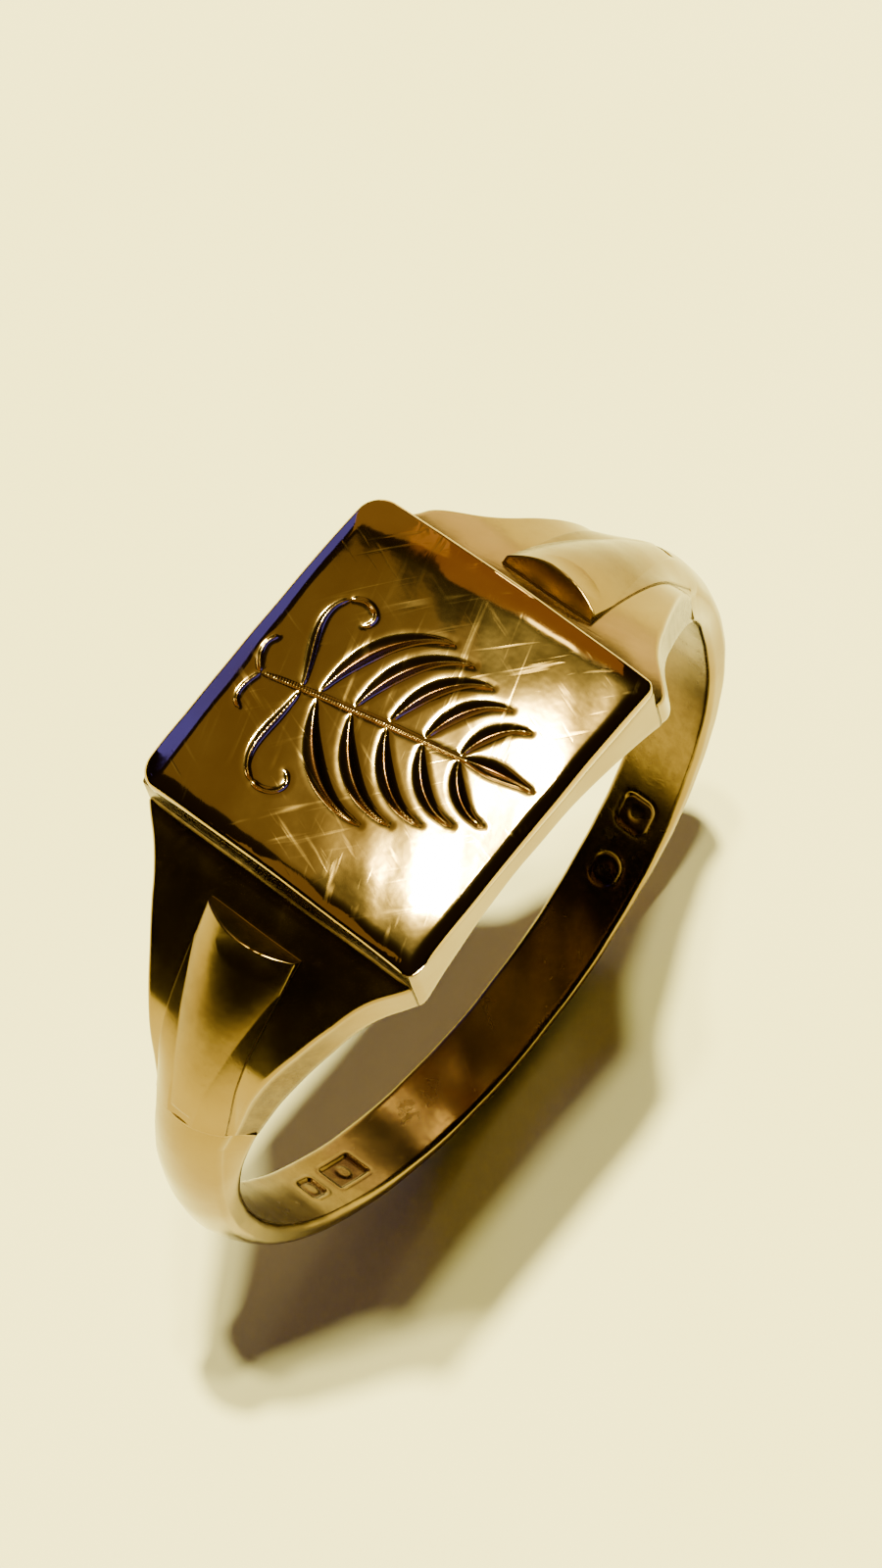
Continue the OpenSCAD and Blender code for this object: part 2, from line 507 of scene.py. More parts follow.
class GoldGroups:
    """The shader effects that every gold finish shares, each built once."""

    def __init__(self) -> None:
        """Builds the groups."""
        self.tone = self._tone_drift()
        self.scratches = self._fine_scratches()
        self.wear = self._handling_wear()

    @staticmethod
    def _tone_drift() -> Tree:
        """Slow drift between two golds, darkened by a mask towards a dark colour: oxide in hollows,
        and painted shade in corners, creases and the finger hole.
        """
        tree, sheet = new_group(
            "tone_and_painted_shade",
            {
                "Vector": ("NodeSocketVector", None),
                "Gold": ("NodeSocketColor", (0.8, 0.5, 0.2, 1.0)),
                "Warm Gold": ("NodeSocketColor", (0.7, 0.4, 0.15, 1.0)),
                "Tarnish": ("NodeSocketColor", (0.1, 0.05, 0.02, 1.0)),
                "Crevice": ("NodeSocketFloat", 0.0),
                "Grime": ("NodeSocketFloat", 0.5),
                "Scale": ("NodeSocketFloat", 300.0),
            },
            {"Color": "NodeSocketColor", "Tarnish Mask": "NodeSocketFloat"},
        )
        given = sheet.add("NodeGroupInput").outputs
        drift = sheet.noise(given["Vector"], given["Scale"], 4.0, 0.55)
        warm = sheet.mix(sheet.ramp(drift, 0.38, 0.66), given["Gold"], given["Warm Gold"])
        patches = sheet.noise(given["Vector"], 2600.0, 5.0, 0.7)
        # The mask, broken into patches, darkens the gold: oxide in hollows, and painted shade in
        # corners, creases and the finger hole.
        shade_and_oxide_part = sheet.maths("MULTIPLY", given["Crevice"], sheet.ramp(patches, 0.25, 0.6))
        specks = sheet.maths("MULTIPLY", sheet.ramp(patches, 0.64, 0.85), 0.12)
        oxide_and_shade_amount = sheet.maths("ADD", sheet.maths("MULTIPLY", shade_and_oxide_part, 0.6), given["Crevice"])
        oxide_and_shade_amount = sheet.maths("MULTIPLY", sheet.maths("ADD", oxide_and_shade_amount, specks), given["Grime"], clamp=True)
        colour = sheet.mix(oxide_and_shade_amount, warm, given["Tarnish"])
        sheet.add("NodeGroupOutput", {"Color": colour, "Tarnish Mask": oxide_and_shade_amount})
        return tree

    @staticmethod
    def _fine_scratches() -> Tree:
        """Hairline scratches in three directions, as heights from 0 to 1."""
        tree, sheet = new_group(
            "fine_scratches",
            {
                "Vector": ("NodeSocketVector", None),
                "Amount": ("NodeSocketFloat", 0.5),
                "Turn": ("NodeSocketFloat", 0.0),
            },
            {"Height": "NodeSocketFloat", "Mask": "NodeSocketFloat"},
        )
        given = sheet.add("NodeGroupInput").outputs
        total: Socket | None = None
        layers = ((0.35, 5200.0, 170.0), (1.25, 3800.0, 130.0), (2.30, 4600.0, 210.0))
        for number, (angle, fine, coarse) in enumerate(layers):
            turned = sheet.add(
                "ShaderNodeVectorRotate",
                {"Vector": given["Vector"], "Angle": sheet.maths("ADD", given["Turn"], angle)},
                rotation_type="Z_AXIS",
            ).outputs[0]
            drawn = sheet.add(
                "ShaderNodeVectorMath", {0: turned, 1: (fine, coarse, fine)}, operation="MULTIPLY"
            ).outputs[0]
            lines = sheet.ramp(sheet.noise(drawn, 1.0, 2.0, 0.6, 0.25), 0.60, 0.70)
            gaps = sheet.ramp(sheet.noise(given["Vector"], 420.0 + 90.0 * number, 2.0), 0.42, 0.62)
            line = sheet.maths("MULTIPLY", lines, gaps)
            total = line if total is None else sheet.maths("ADD", total, line)
        mask = sheet.maths("MULTIPLY", total, given["Amount"], clamp=True)
        sheet.add("NodeGroupOutput", {"Height": sheet.maths("SUBTRACT", 1.0, mask), "Mask": mask})
        return tree

    @staticmethod
    def _handling_wear() -> Tree:
        """Roughness that changes between rubbed and dull patches."""
        tree, sheet = new_group(
            "handling_wear",
            {
                "Vector": ("NodeSocketVector", None),
                "Bright": ("NodeSocketFloat", 0.2),
                "Dull": ("NodeSocketFloat", 0.4),
                "Edge": ("NodeSocketFloat", 0.0),
                "Scratch": ("NodeSocketFloat", 0.0),
                "Tarnish Mask": ("NodeSocketFloat", 0.0),
            },
            {"Roughness": "NodeSocketFloat", "Dents": "NodeSocketFloat"},
        )
        given = sheet.add("NodeGroupInput").outputs
        patches = sheet.noise(given["Vector"], 650.0, 5.0, 0.62)
        spread = sheet.maths("SUBTRACT", given["Dull"], given["Bright"])
        rough = sheet.maths("MULTIPLY_ADD", sheet.ramp(patches, 0.3, 0.7), spread)
        sheet.tree.links.new(given["Bright"], rough.node.inputs[2])
        rubbed = sheet.maths("SUBTRACT", rough, sheet.maths("MULTIPLY", given["Edge"], 0.08))
        scuffed = sheet.maths("ADD", rubbed, sheet.maths("MULTIPLY", given["Scratch"], 0.10))
        stained = sheet.maths("MULTIPLY", given["Tarnish Mask"], 0.08)
        final = sheet.maths("ADD", scuffed, stained, clamp=True)
        dents = sheet.noise(given["Vector"], 900.0, 3.0)
        sheet.add("NodeGroupOutput", {"Roughness": final, "Dents": dents})
        return tree


@dataclass(frozen=True)
class GoldFinish:
    """A gold surface: its colours, how dull it is and how scratched."""

    name: str
    gold: tuple[float, float, float]
    warm_gold: tuple[float, float, float]
    # Dark colour mixed in by the mask: oxide in hollows, and painted shade in corners, creases and
    # the finger hole.
    tarnish: tuple[float, float, float]
    bright: float
    dull: float
    scratch_amount: float
    scratch_um: float
    dent_um: float
    grime: float
    turn: float = 0.0

    def material(self, groups: GoldGroups) -> bpy.types.Material:
        """Builds the material.

        Args:
            groups: The shared shader groups.

        Returns:
            The new material.
        """
        made = bpy.data.materials.new(self.name)
        made.use_nodes = True
        made.node_tree.nodes.clear()
        sheet = NodeSheet(made.node_tree)
        place = sheet.add("ShaderNodeTexCoord").outputs["Object"]
        # This mask darkens the gold: oxide in hollows, and painted shade in corners, creases and
        # the finger hole.
        crevice = sheet.add("ShaderNodeAttribute", attribute_name="crevice").outputs["Fac"]
        edge = sheet.add("ShaderNodeAttribute", attribute_name="edge").outputs["Fac"]
        tone = sheet.add(
            "ShaderNodeGroup",
            {
                "Vector": place,
                "Gold": (*self.gold, 1.0),
                "Warm Gold": (*self.warm_gold, 1.0),
                "Tarnish": (*self.tarnish, 1.0),
                "Crevice": crevice,
                "Grime": self.grime,
            },
            node_tree=groups.tone,
        )
        scratches = sheet.add(
            "ShaderNodeGroup",
            {"Vector": place, "Amount": self.scratch_amount, "Turn": self.turn},
            node_tree=groups.scratches,
        )
        wear = sheet.add(
            "ShaderNodeGroup",
            {
                "Vector": place,
                "Bright": self.bright,
                "Dull": self.dull,
                "Edge": edge,
                "Scratch": scratches.outputs["Mask"],
                "Tarnish Mask": tone.outputs["Tarnish Mask"],
            },
            node_tree=groups.wear,
        )
        dented = sheet.add(
            "ShaderNodeBump",
            {"Strength": 1.0, "Distance": self.dent_um * MICRON, "Height": wear.outputs["Dents"]},
        )
        scratched = sheet.add(
            "ShaderNodeBump",
            {
                "Strength": 1.0,
                "Distance": self.scratch_um * MICRON,
                "Height": scratches.outputs["Height"],
                "Normal": dented.outputs[0],
            },
        )
        shader = sheet.add(
            "ShaderNodeBsdfPrincipled",
            {
                "Base Color": tone.outputs["Color"],
                "Metallic": 1.0,
                "Roughness": wear.outputs["Roughness"],
                "Normal": scratched.outputs[0],
            },
        )
        sheet.add("ShaderNodeOutputMaterial", {"Surface": shader.outputs[0]})
        return made


TABLE_FINISH = GoldFinish(
    name="worn_table_gold",
    gold=(0.40, 0.285, 0.095),
    warm_gold=(0.34, 0.225, 0.065),
    tarnish=(0.06, 0.028, 0.010),
    bright=0.078,
    dull=0.112,
    scratch_amount=0.8,
    scratch_um=1.6,
    dent_um=9.0,
    grime=0.75,
)
# The ring's and the shank's golds are darker than the table's, though all three are one alloy:
# painted shade.
RING_FINISH = GoldFinish(
    name="polished_ring_gold",
    gold=(0.255, 0.176, 0.054),
    warm_gold=(0.205, 0.132, 0.036),
    tarnish=(0.05, 0.024, 0.008),
    bright=0.14,
    dull=0.23,
    scratch_amount=0.5,
    scratch_um=1.4,
    dent_um=8.0,
    grime=0.7,
    turn=0.7,
)
SHANK_FINISH = GoldFinish(
    name="rubbed_shank_gold",
    gold=(0.25, 0.174, 0.054),
    warm_gold=(0.20, 0.130, 0.036),
    tarnish=(0.05, 0.024, 0.008),
    bright=0.13,
    dull=0.24,
    scratch_amount=0.6,
    scratch_um=1.6,
    dent_um=9.0,
    grime=0.7,
    turn=1.4,
)
SOLDER_FINISH = GoldFinish(
    name="pale_solder",
    gold=(0.34, 0.25, 0.10),
    warm_gold=(0.26, 0.17, 0.055),
    tarnish=(0.04, 0.02, 0.008),
    bright=0.22,
    dull=0.34,
    scratch_amount=0.3,
    scratch_um=1.0,
    dent_um=6.0,
    grime=0.6,
)


class Wardrobe:
    """Hands out one material for each slot."""

    def __init__(self) -> None:
        """Builds the shared groups and the four materials."""
        groups = GoldGroups()
        finishes = {
            Slot.TABLE: TABLE_FINISH,
            Slot.RING: RING_FINISH,
            Slot.SHANK: SHANK_FINISH,
            Slot.SOLDER: SOLDER_FINISH,
        }
        self.materials = {slot: finish.material(groups) for slot, finish in finishes.items()}

    def dress(self, piece: bpy.types.Object, slot: Slot, *nodes: str) -> bpy.types.Object:
        """Gives a piece its material and its place in the frame.

        Args:
            piece: The piece.
            slot: Its material slot.
            *nodes: The CAD nodes that it stands for.

        Returns:
            The same piece.
        """
        piece.data.materials.clear()
        piece.data.materials.append(self.materials[slot])
        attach(piece, BODY)
        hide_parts(*nodes)
        log.info("%s: %d faces", piece.name, len(piece.data.polygons))
        return piece


# ---------------------------------------------------------------------------------------------
# Engraving
# ---------------------------------------------------------------------------------------------


@dataclass(frozen=True)
class Cut:
    """One swelled stroke of the graver: four control points, and its widest half-width."""

    a: tuple[float, float]
    b: tuple[float, float]
    c: tuple[float, float]
    d: tuple[float, float]
    swell: float
    hair: float = 0.045

    def trace(self, count: int = 90) -> tuple[np.ndarray, np.ndarray]:
        """Walks along the stroke.

        Args:
            count: How many points to give.

        Returns:
            The points, and the half-width at each.
        """
        t = np.linspace(0.0, 1.0, count)[:, None]
        a, b, c, d = (np.array(p) for p in (self.a, self.b, self.c, self.d))
        line = (1 - t) ** 3 * a + 3 * t * (1 - t) ** 2 * b + 3 * t**2 * (1 - t) * c + t**3 * d
        width = self.hair + (self.swell - self.hair) * np.sin(math.pi * t[:, 0] ** 0.85) ** 1.6
        fade = np.minimum(1.0, 12.0 * np.minimum(t[:, 0], 1 - t[:, 0]) + 0.25)
        return line, width * fade

    def mirrored(self) -> "Cut":
        """The same stroke on the other side of the ornament's axis."""
        flip = [(p[0], -p[1]) for p in (self.a, self.b, self.c, self.d)]
        return Cut(*flip, swell=self.swell, hair=self.hair)


@dataclass(frozen=True)
class LeafOrnament:
    """A sprig of leaves with two tendrils, cut into the table. It is no letter and no crest."""

    centre: tuple[float, float] = (-0.15, 0.0)
    heading: float = -78.0
    slope: float = 0.75
    deepest: float = 0.13
    leaf_pairs: int = 5
    ease: float = 0.05
    reach: float = 0.3  # how far past a stroke's middle line its cut can go

    def cuts(self) -> list[Cut]:
        """The strokes, along and across the ornament's axis."""
        stem = Cut((-3.3, 0.0), (-1.0, 0.02), (1.0, -0.02), (2.3, 0.0), swell=0.07)
        tip = Cut((2.0, 0.0), (2.5, 0.10), (3.1, 0.08), (3.75, 0.0), swell=0.19)
        half: list[Cut] = []
        for i in range(self.leaf_pairs):
            share = i / (self.leaf_pairs - 1)
            root = -1.75 + 3.65 * share
            long = 2.35 - 1.15 * share
            half.append(
                Cut(
                    (root, 0.07),
                    (root + 0.10 * long, 0.50 * long),
                    (root + 0.45 * long, 0.98 * long),
                    (root + 0.98 * long, 1.02 * long),
                    swell=0.22 - 0.06 * share,
                )
            )
        half.append(Cut((-2.2, 0.04), (-2.3, 0.9), (-3.0, 1.9), (-2.2, 2.45), swell=0.10))
        half.append(Cut((-2.2, 2.45), (-1.7, 2.75), (-1.15, 2.25), (-1.60, 1.95), swell=0.055))
        half.append(Cut((-3.3, 0.02), (-3.55, 0.35), (-3.7, 0.75), (-3.35, 0.95), swell=0.06))
        return [stem, tip, *half, *(cut.mirrored() for cut in half)]

    def depth(self, x: np.ndarray, y: np.ndarray) -> np.ndarray:
        """How deep the ornament is cut at each point of the table.

        Args:
            x: X of each point.
            y: Y of each point.

        Returns:
            Depths in millimetres.
        """
        turn = math.radians(self.heading)
        off_x, off_y = x - self.centre[0], y - self.centre[1]
        along = off_x * math.cos(turn) + off_y * math.sin(turn)
        across = -off_x * math.sin(turn) + off_y * math.cos(turn)
        points = np.stack([along.ravel(), across.ravel()], axis=1)
        depth = np.zeros(len(points))
        for cut in self.cuts():
            line, width = cut.trace()
            low, high = line.min(0) - self.reach, line.max(0) + self.reach
            near = np.where(((points > low) & (points < high)).all(1))[0]
            gap = np.sqrt(((points[near, None, :] - line[None]) ** 2).sum(2))
            fall = (width[None] - gap).max(1)
            soft = 0.5 * (fall + np.sqrt(fall**2 + self.ease**2)) * smoothstep(-0.17, -0.05, fall)
            depth[near] = np.maximum(depth[near], self.slope * soft)
        deep = self.deepest * np.tanh(depth / self.deepest)
        return deep.reshape(x.shape)


# ---------------------------------------------------------------------------------------------
# The ring's pieces
# ---------------------------------------------------------------------------------------------


@dataclass(frozen=True)
class Bevel:
    """A filed bevel along one edge. Each pair holds the values at the edge's two ends."""

    width: tuple[float, float]
    slope: tuple[float, float]
    ease: float = 0.03

    def fall(self, reach: np.ndarray, along: np.ndarray) -> np.ndarray:
        """Height of the bevel's plane against the face.

        Args:
            reach: Distance from the edge.
            along: Share of the way along the edge.

        Returns:
            Heights, which are negative on the bevel.
        """
        width = self.width[0] + (self.width[1] - self.width[0]) * along
        slope = self.slope[0] + (self.slope[1] - self.slope[0]) * along
        return (reach - width) * slope


@dataclass
class SignetPlate:
    """The table: a rounded square, worn into a dome, with four bevels and a cut ornament.

    The dome is bent about its crest and worn further down past two lines, near its left and right
    edges. Each worn pair holds the line's X and the radius of the wear.
    """

    half_l: float
    half_w: float
    bottom: float
    top: float
    crest: tuple[float, float] = (5.4, 1.25)
    bend_l: float = 115.0
    bend_w: float = 27.0
    left_worn: tuple[float, float] = (-2.9, 16.0)
    right_worn: tuple[float, float] = (1.4, 34.0)
    left_bevel: Bevel = Bevel((0.30, 0.30), (0.16, 0.16))
    right_bevel: Bevel = Bevel((0.26, 1.00), (0.18, 0.18), ease=0.05)
    far_bevel: Bevel = Bevel((0.60, 0.30), (0.34, 0.20))
    near_bevel: Bevel = Bevel((0.26, 0.26), (0.32, 0.32))
    far_round: float = 0.60
    near_round: float = 0.25
    roll_w: float = 0.10
    roll_h: float = 0.07
    step: float = 0.0225
    wobble: float = 0.007
    ornament: LeafOrnament = field(default_factory=LeafOrnament)

    @staticmethod
    def from_frame() -> "SignetPlate":
        """Takes the plate's size from its CAD node."""
        low, high = node_box("signet_plate")
        return SignetPlate(half_l=high.x, half_w=high.y, bottom=low.z, top=high.z + CREST_RISE)

    def _spaced(self, half: float) -> np.ndarray:
        """Positions from -half to half, closer together near the rim."""
        count = int(half / self.step)
        t = np.linspace(0.0, 1.0, count)
        arm = half * (t + 0.05 * np.sin(math.pi * t) * t)
        return np.concatenate([-arm[::-1], arm[1:]])

    def _round_corners(self, x: np.ndarray, y: np.ndarray) -> tuple[np.ndarray, np.ndarray]:
        """Bends the corners of a rectangular grid onto the plate's round corners."""
        r = np.where(y > 0, self.far_round, self.near_round)
        over_x = (np.abs(x) - (self.half_l - r)) / r
        over_y = (np.abs(y) - (self.half_w - r)) / r
        corner = (over_x > 0) & (over_y > 0)
        bent_x = over_x * np.sqrt(np.clip(1 - over_y**2 / 2, 0, 1))
        bent_y = over_y * np.sqrt(np.clip(1 - over_x**2 / 2, 0, 1))
        new_x = np.where(corner, np.sign(x) * (self.half_l - r + bent_x * r), x)
        new_y = np.where(corner, np.sign(y) * (self.half_w - r + bent_y * r), y)
        return new_x, new_y

    def _inside(self, x: np.ndarray, y: np.ndarray) -> np.ndarray:
        """Distance from each point to the plate's outline."""
        r = np.where(y > 0, self.far_round, self.near_round)
        qx = np.abs(x) - self.half_l + r
        qy = np.abs(y) - self.half_w + r
        outside = np.hypot(np.maximum(qx, 0), np.maximum(qy, 0))
        return r - outside - np.minimum(np.maximum(qx, qy), 0)

    def _height(self, x: np.ndarray, y: np.ndarray) -> np.ndarray:
        """Height of the table's skin before it is cut."""
        face = self.top - (x - self.crest[0]) ** 2 / (2 * self.bend_l)
        face -= (y - self.crest[1]) ** 2 / (2 * self.bend_w)
        face -= np.maximum(self.left_worn[0] - x, 0.0) ** 2 / (2 * self.left_worn[1])
        face -= np.maximum(x - self.right_worn[0], 0.0) ** 2 / (2 * self.right_worn[1])
        far = (y + self.half_w) / (2 * self.half_w)
        right = (x + self.half_l) / (2 * self.half_l)
        bevels = (
            (self.left_bevel, x + self.half_l, far),
            (self.right_bevel, self.half_l - x, far),
            (self.far_bevel, self.half_w - y, right),
            (self.near_bevel, self.half_w + y, right),
        )
        fall = np.zeros_like(x)
        for bevel, reach, along in bevels:
            fall = soft_min(fall, bevel.fall(reach, along), bevel.ease)
        share = np.clip(self._inside(x, y) / self.roll_w, 0, 1)
        roll = 1 - np.sqrt(np.clip(1 - (1 - share) ** 2, 0, 1))
        return np.maximum(face + fall - self.roll_h * roll, self.bottom + 0.01)

    def build(self, wardrobe: Wardrobe) -> bpy.types.Object:
        """Makes and dresses the plate."""
        xs, ys = self._spaced(self.half_l), self._spaced(self.half_w)
        x, y = self._round_corners(*np.meshgrid(xs, ys, indexing="ij"))
        inside = self._inside(x, y)
        depth = self.ornament.depth(x, y) * smoothstep(0.35, 0.6, inside)
        top = np.stack([x, y, self._height(x, y) - depth], axis=-1)
        rows, columns = x.shape
        index = np.arange(rows * columns).reshape(rows, columns)
        corners = [index[:-1, :-1], index[1:, :-1], index[1:, 1:], index[:-1, 1:]]
        faces = [tuple(q) for q in np.stack(corners, -1).reshape(-1, 4).tolist()]
        border = np.concatenate(
            [index[:-1, 0], index[-1, :-1], index[:0:-1, -1], index[0, :0:-1]]
        )
        face_points = top.reshape(-1, 3)
        walls, wall_faces = self._walls(face_points[border], border, index.size)
        cloud = np.concatenate([face_points, walls])
        # The plate's left side wall is darkened: painted shade. The engraved cuts are darkened by
        # their depth, as oxide.
        shade_and_oxide_part = np.where(walls[:, 0] < 0.02 - self.half_l, 0.75, 0.0)
        crevice = np.concatenate([smoothstep(0.012, 0.10, depth).ravel(), shade_and_oxide_part])
        rubbed = (1 - smoothstep(0.0, 0.5, inside)).ravel()
        edge = np.concatenate([rubbed, np.zeros(len(walls))])
        skin = Skin(cloud, faces + wall_faces).finish(crevice, edge, self.wobble)
        return wardrobe.dress(skin.make("engraved_signet_plate"), Slot.TABLE, "signet_plate")

    def _walls(
        self, rim: np.ndarray, border: np.ndarray, first: int
    ) -> tuple[np.ndarray, list[tuple[int, ...]]]:
        """Rings of points that run down the plate's sides, and the faces between them.

        Args:
            rim: Points around the face's outline.
            border: The numbers of those points.
            first: The number that the first new point gets.

        Returns:
            The new points, and the faces of the sides and the underside.
        """
        inward = rim[:, :2] / np.linalg.norm(rim[:, :2], axis=1, keepdims=True)
        rings: list[np.ndarray] = []
        faces: list[tuple[int, ...]] = []
        last = border
        for drop, pull in ((0.4, 0.0), (0.8, 0.01), (1.0, 0.045)):
            ring = rim.copy()
            ring[:, 2] += (self.bottom - rim[:, 2]) * drop
            ring[:, :2] -= inward * pull
            new = first + len(rim) * len(rings) + np.arange(len(rim))
            sides = np.stack([last, new, np.roll(new, -1), np.roll(last, -1)], axis=1)
            faces += [tuple(q) for q in sides.tolist()]
            rings.append(ring)
            last = new
        faces.append(tuple(last[::-1].tolist()))
        return np.concatenate(rings), faces


@dataclass
class HeadCollet:
    """The block under the table, bored through for the finger."""

    shape: RingShape
    corner: float = 0.03
    low_round: float = 0.12
    high_round: float = 0.04
    steps: int = 150

    def half_w(self, x: np.ndarray) -> np.ndarray:
        """Half-width of the block along its length, with its upright corners rounded."""
        s = self.shape
        side = np.where(x < 0, s.side_w(np.abs(x), Side.LEFT), s.side_w(np.abs(x), Side.RIGHT))
        past = np.clip(np.abs(x) - (s.head_l - self.corner), 0, self.corner) / self.corner
        return side - self.corner * (1 - np.sqrt(1 - past**2))

    def build(self, wardrobe: Wardrobe) -> bpy.types.Object:
        """Makes and dresses the collet."""
        s = self.shape
        t = np.linspace(-1.0, 1.0, self.steps)
        x = s.head_l * np.sin(t * math.pi / 2)
        low = np.sqrt(s.bore_r**2 - x**2)
        half = self.half_w(x)
        high = np.full(len(x), s.collet_z)
        y, z = section(half, half, low, high, self.low_round, self.high_round, across=90)
        points = np.stack([np.broadcast_to(x[:, None], y.shape), y, z], axis=-1)
        skin = Skin.tube(points)
        # Darker under the table and on the end walls against the shoulders: painted shade.
        under_table = 1 - smoothstep(0.0, 0.10, s.collet_z - z)
        at_wall = (np.abs(points[..., 0]) > s.head_l - 0.01) * (np.abs(y) < half[:, None] - 0.2)
        skin.finish(np.maximum(0.5 * under_table, 0.9 * at_wall))
        return wardrobe.dress(skin.make("bored_head_collet"), Slot.RING, "head_collet")


@dataclass
class Shoulder:
    """A flared plate beside the head, with its sides scalloped in towards the shank."""

    shape: RingShape
    side: Side
    steps: int = 150
    low_round: float = BAND_LOW_ROUND
    high_round: float = BAND_HIGH_ROUND

    def _angle(self, along: np.ndarray, r: np.ndarray) -> np.ndarray:
        """Angle at a share of the way from the head's wall to the joint, at a radius."""
        start = np.degrees(np.arcsin(self.shape.wall_x / r))
        end = self.shape.joint_angle - 0.32  # leaves room for the band's seam
        return start + (end - start) * along

    def build(self, wardrobe: Wardrobe) -> bpy.types.Object:
        """Makes and dresses the shoulder."""
        s = self.shape
        along = np.linspace(0.0, 1.0, self.steps) ** 1.15
        low_angle = self._angle(along, np.full(self.steps, s.bore_r))
        high_angle = self._angle(along, np.full(self.steps, s.shoulder_r))
        low_x = s.bore_r * np.sin(np.radians(low_angle))
        edge_r = s.shoulder_top(high_angle, np.full(self.steps, s.shank_w + 0.1))
        high_x = edge_r * np.sin(np.radians(high_angle))
        low_w = s.side_w(low_x, self.side)
        high_w = s.side_w(high_x, self.side)
        y, r = section(
            low_w,
            high_w,
            np.full(self.steps, s.bore_r),
            np.full(self.steps, s.shoulder_r),
            self.low_round,
            self.high_round,
            across=110,
        )
        spare = s.side_w(high_x, self.side, far=True) - high_w
        extra = spare * smoothstep(0.2, 1.6, high_x - s.wall_x)
        y = np.where(y > 0, y * (1 + extra / high_w)[:, None], y)
        angle = self._angle(along[:, None], r)
        top = s.shoulder_top(angle, y)
        lift = (r - s.bore_r) / (s.shoulder_r - s.bore_r)
        r = r + (top - s.shoulder_r) * np.clip(lift, 0, 1)
        points = on_hoop(y, r, angle, self.side)
        skin = Skin.tube(points)
        # Darker beside the head's wall, on the scalloped side walls and in the finger hole: painted
        # shade.
        from_wall = np.abs(points[..., 0]) - s.wall_x
        inward = smoothstep(0.1, 0.3, high_w[:, None] - np.abs(y))
        at_wall = (1 - smoothstep(0.0, 0.22, from_wall)) * (lift > 0.9) * inward
        side_wall = (1 - inward) * (1 - smoothstep(0.75, 0.95, lift))
        cut_side = side_wall * smoothstep(0.5, 2.5, from_wall)
        in_bore = 1 - smoothstep(0.0, 0.06, lift)
        skin.finish(np.maximum(0.7 * at_wall, 0.8 * cut_side + 0.5 * in_bore))
        name = f"{self.side.word}_scalloped_shoulder"
        return wardrobe.dress(skin.make(name), Slot.RING, f"{self.side.word}_shoulder")


